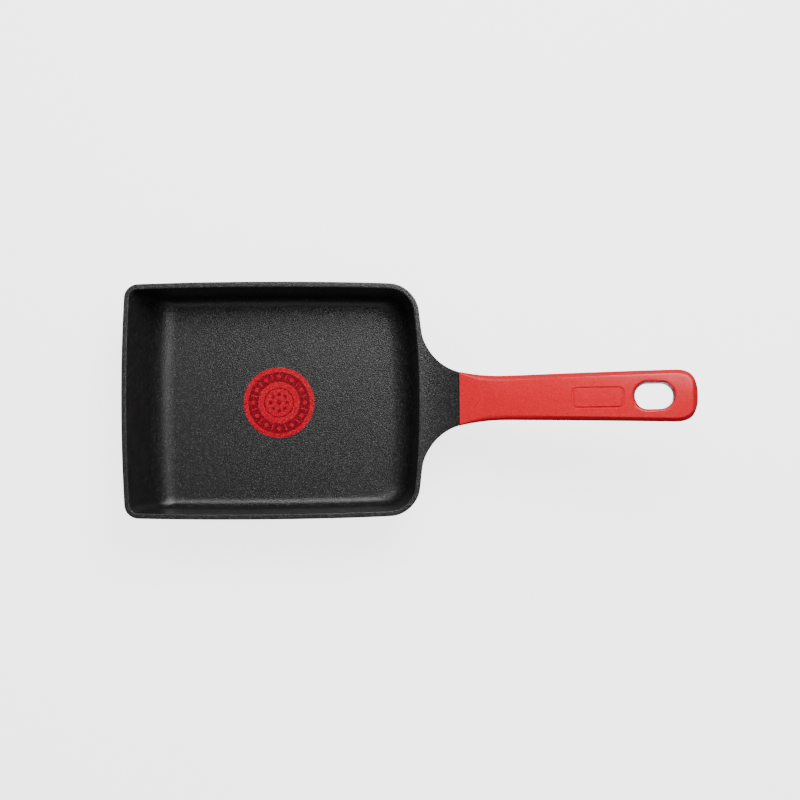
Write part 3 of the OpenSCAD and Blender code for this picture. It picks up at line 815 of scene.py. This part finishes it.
def buildGrip():
    g = gripSizes
    clearSelection()
    bpy.ops.mesh.primitive_plane_add(size=1)
    grip = startPiece("grip")
    bpy.ops.mesh.delete(type="VERT")
    for s in g["stations"]:
        gripSection(grip, min(s, g["length"] - g["endShort"]), s)
    bpy.ops.mesh.select_mode(type="FACE")
    bpy.ops.mesh.select_all(action="SELECT")
    bpy.ops.mesh.delete(type="ONLY_FACE")
    pickOnly(grip, "edges", everything)
    bpy.ops.mesh.bridge_edge_loops()
    front, end = g["stations"][0], g["stations"][-1]
    for at in (front, end):
        pickOnly(grip, "edges", lambda e: liesAt(e, at))
        bpy.ops.mesh.edge_face_add()
    # the front stays sharp where it meets the neck
    pickOnly(grip, "edges", lambda e: liesAt(e, front))
    bpy.ops.transform.edge_crease(value=1)
    bpy.ops.object.mode_set(mode="OBJECT")
    turnNormalsOut(grip)
    smoothOut(grip, 2)
    return grip


socketSizes = {"width": 20.6, "thick": 8.6, "deep": 32.3, "round": 1.8}
screwSizes = {"at": 18.0, "seat": -6.7, "recess": 10.0, "hole": 4.5, "lip": 0.5, "lipStart": 2.5}


def cutSocket(grip):
    c = socketSizes
    cutAway(grip, roundedBar("socketCut", -2 * over, c["deep"], c["width"], c["thick"], c["round"]))


def cutScrewRecess(grip):
    # a recess with a bevelled lip from below, and the screw's hole
    c = screwSizes
    low = archAt(c["at"]) - gripHeights(c["at"])[1]
    wide, narrow, lip = c["recess"] / 2, c["hole"] / 2, c["lip"]
    recess = [(wide + 3 * lip, low - c["lipStart"]), (wide + lip, low), (wide, low + lip), (wide, c["seat"])]
    hole = [(narrow, c["seat"] - 2 * over), (narrow, 0)]
    cutAway(grip, turnedPiece("recessCut", recess, (c["at"], 0)))
    cutAway(grip, turnedPiece("screwHoleCut", hole, (c["at"], 0)))


panelSizes = {"at": 87.2, "side": -1.0, "length": 30.4, "width": 12.0, "corner": 2.7,
              "cornerSteps": 6, "sideCuts": 9, "groove": 0.8, "grooveSteps": 3, "sink": 0.75,
              "above": 40.0}


def cutPanelGroove(grip):
    # a bare framed panel: a round-bottomed groove that follows the top face
    c = panelSizes
    loop = roundedPlate("grooveLine", (c["at"], c["side"], c["above"]), c["length"], c["width"],
                        c["corner"], c["cornerSteps"])
    bpy.ops.mesh.delete(type="ONLY_FACE")
    pickOnly(loop, "edges", lambda e: e.calc_length() > c["corner"])
    bpy.ops.mesh.subdivide(number_cuts=c["sideCuts"])
    bpy.ops.object.mode_set(mode="OBJECT")
    applyModifier(loop, "SHRINKWRAP", target=grip, wrap_method="PROJECT", use_project_z=True,
                  use_negative_direction=True, use_positive_direction=False)
    makeActive(loop)
    bpy.ops.object.convert(target="CURVE")
    line = bpy.context.object
    line.data.bevel_depth = c["groove"]
    line.data.bevel_resolution = c["grooveSteps"]
    bpy.ops.object.convert(target="MESH")
    cutter = bpy.context.object
    cutter.location = (0, 0, c["groove"] - c["sink"])
    applyPlace()
    turnNormalsOut(cutter)
    cutAway(grip, cutter)


slotSizes = {
    "at": 120.3, "length": 24.9, "width": 16.9, "endSteps": 16, "round": 1.4,
    "lining": 0.7, "flange": 1.2, "flangeRound": 0.15, "flangeGap": 0.02, "gap": 0.03, "drop": 1.0,
    # the opening's round, as (outwards, upwards) parts of its radius
    "lip": ((0.0, -1.0), (0.12, -0.62), (0.42, -0.28), (0.95, -0.0142857), (2.2, 1.2)),
    # the lining's roll, as (outwards, upwards) parts of its wall, and its foot, upwards in full
    "roll": ((0.0, -0.5), (-0.13, -0.15), (-0.5, 0.0), (-0.87, -0.15), (-1.0, -0.5)),
    "foot": ((-1.0, 0.6), (-0.8, 0.2), (-0.3, 0.0)),
}


def startSlot(name, low, length, width):
    # the slot's stadium outline, a little short of meeting in a point at its ends
    return roundedPlate(name, (0, 0, low), length, width, width / 2 - hair, slotSizes["endSteps"])


def slotFaces():
    # the grip's upper and lower face over and under the middle of the slot
    c = slotSizes
    up, down = gripHeights(c["at"])
    return up, -down


def cutSlot(grip):
    c = slotSizes
    up, low = slotFaces()
    top = up + gripSizes["crown"] * (1 - (c["width"] / gripSizes["buttWidth"]) ** 2)
    step, r, start = c["flange"] + c["gap"], c["round"], low - 2 * over
    cutter = startSlot("slotCut", start, c["length"], c["width"])
    bpy.ops.mesh.select_all(action="SELECT")
    # a wider step below takes the lining's flange
    rings = [(0, start), (step, start - hair), (step, low + c["lining"]),
             (0, low + c["lining"] + hair), *((r * out, top + r * rise) for out, rise in c["lip"])]
    extrudeRings(rings, c["length"], c["width"])
    bpy.ops.object.mode_set(mode="OBJECT")
    turnNormalsOut(cutter)
    placePiece(cutter, c["at"], archAt(c["at"]), archTilt(c["at"]))
    cutAway(grip, cutter)


grip = buildGrip()
cutSocket(grip)
cutPanelGroove(grip)
cutScrewRecess(grip)
cutSlot(grip)
placePiece(grip, joint.x, joint.y, pitch)
finishPiece(grip, gripFinish, ["handle_grip"])


def buildLining():
    # steel lining of the hanging slot: rolled at the top, with a flange below
    c = slotSizes
    up, low = slotFaces()
    top, wall, flange = up - c["drop"], c["lining"], c["flange"]
    length, width = c["length"] - 2 * c["gap"], c["width"] - 2 * c["gap"]
    roll = [(wall * out, top + wall * rise) for out, rise in c["roll"]]
    edge, seat = c["flangeRound"], low + wall - c["flangeGap"]
    foot = [(wall * out, low + rise) for out, rise in c["foot"]]
    foot += [(flange - edge, low), (flange, low + edge), (flange, seat), (0, seat)]
    lining = startSlot("slotLining", roll[0][1], length, width)
    bpy.ops.mesh.delete(type="ONLY_FACE")
    pickOnly(lining, "edges", everything)
    extrudeRings(roll + foot, length, width)
    pickOnly(lining, "edges", lambda e: len(e.link_faces) == 1)
    bpy.ops.mesh.bridge_edge_loops()
    bpy.ops.object.mode_set(mode="OBJECT")
    placePiece(lining, c["at"], archAt(c["at"]), archTilt(c["at"]))
    placePiece(lining, joint.x, joint.y, pitch)
    finishPiece(lining, liningFinish, ["hanging_eyelet"])


indicatorSizes = {
    "middle": 2.0, "across": 45.0, "top": 4.55, "steps": 96,
    # the soft edge as (inwards, downwards), and rings on the top face as parts of its radius
    "edge": ((0.0, 0.2), (0.0, 0.04), (0.03, 0.012), (0.1, 0.0)), "rings": (0.8, 0.4),
}


def buildIndicator():
    # a printed disc, hardly proud of the floor
    c = indicatorSizes
    r, top = c["across"] / 2, c["top"]
    rings = [(r - inwards, top - drop) for inwards, drop in c["edge"]]
    rings += [(r * part, top) for part in c["rings"]]
    disc = turnedPiece("heatIndicatorDisc", rings, (c["middle"], 0), c["steps"])
    finishPiece(disc, printFinish, ["heat_indicator"])


buildLining()
buildIndicator()

stageSettings = {
    "floorSize": 4.0, "floorDrop": 0.0003, "floorTone": 0.5, "floorGlow": 3.0,
    "floorCloud": 0.02, "floorShade": 0.99, "world": 0.205,
    # name, place, size in metres and power in watts
    "softboxes": (("keySoftbox", (0.27, 0.44, 0.72), 0.5, 14.5),
                  ("fillSoftbox", (0.0, -0.7, 1.2), 1.0, 3.0),
                  ("edgeSoftbox", (-0.45, 0.55, 0.75), 0.35, 4.0)),
}
cameraSettings = {
    "lens": 100, "sensor": 36, "lean": 2.3, "roll": 0.4,
    "target": (0.079, -0.0004, 0.042), "distance": 1.3778,
}


def buildFloor():
    c = stageSettings
    tone = c["floorTone"]
    clearSelection()
    bpy.ops.mesh.primitive_plane_add(size=c["floorSize"], location=(0, 0, -c["floorDrop"]))
    floor = bpy.context.object
    floor.name = "studioFloor"
    material, tree, shader = newMaterial("paleFloor", (tone, tone, tone), 0.9)
    shader.inputs["Emission Color"].default_value = (1, 1, 1, 1)
    shader.inputs["Emission Strength"].default_value = c["floorGlow"]
    cloud = noise(tree, inMillimetres(tree), c["floorCloud"])
    shades = ramp(tree, cloud, (0.3, tone * c["floorShade"]), (0.7, tone))
    tree.links.new(shades, shader.inputs["Base Color"])
    floor.data.materials.append(material)
    # the glow keeps the floor pale, and the pan isn't lit by it from below
    floor.visible_diffuse = floor.visible_glossy = False


def addSoftbox(name, place, size, power):
    clearSelection()
    bpy.ops.object.light_add(type="AREA", location=place)
    light = bpy.context.object
    light.name = name
    light.data.shape = "SQUARE"
    light.data.size = size
    light.data.energy = power
    light.visible_camera = False
    aim = Vector(cameraSettings["target"]) - Vector(place)
    light.rotation_euler = aim.to_track_quat("-Z", "Y").to_euler()


def addWorld():
    world = bpy.data.worlds.new("paleStudio")
    world.use_nodes = True
    background = world.node_tree.nodes["Background"]
    background.inputs["Color"].default_value = (1, 1, 1, 1)
    background.inputs["Strength"].default_value = stageSettings["world"]
    bpy.context.scene.world = world


def addCamera():
    # nearly straight above, leaning towards the near long side and turned a little
    c = cameraSettings
    lean, roll = math.radians(c["lean"]), math.radians(c["roll"])
    back = Vector((0, -math.sin(lean), math.cos(lean)))
    right, up = Vector((1, 0, 0)), Vector((0, math.cos(lean), math.sin(lean)))
    axisX = right * math.cos(roll) - up * math.sin(roll)
    axisY = right * math.sin(roll) + up * math.cos(roll)
    bpy.ops.object.camera_add()
    camera = bpy.context.object
    camera.name = "photoCamera"
    camera.data.lens, camera.data.sensor_width = c["lens"], c["sensor"]
    turn = Matrix((axisX, axisY, back)).transposed().to_4x4()
    camera.matrix_world = Matrix.Translation(Vector(c["target"]) + back * c["distance"]) @ turn
    bpy.context.scene.camera = camera


buildFloor()
for softbox in stageSettings["softboxes"]:
    addSoftbox(*softbox)
addWorld()
addCamera()
print("stage, lights and camera set")
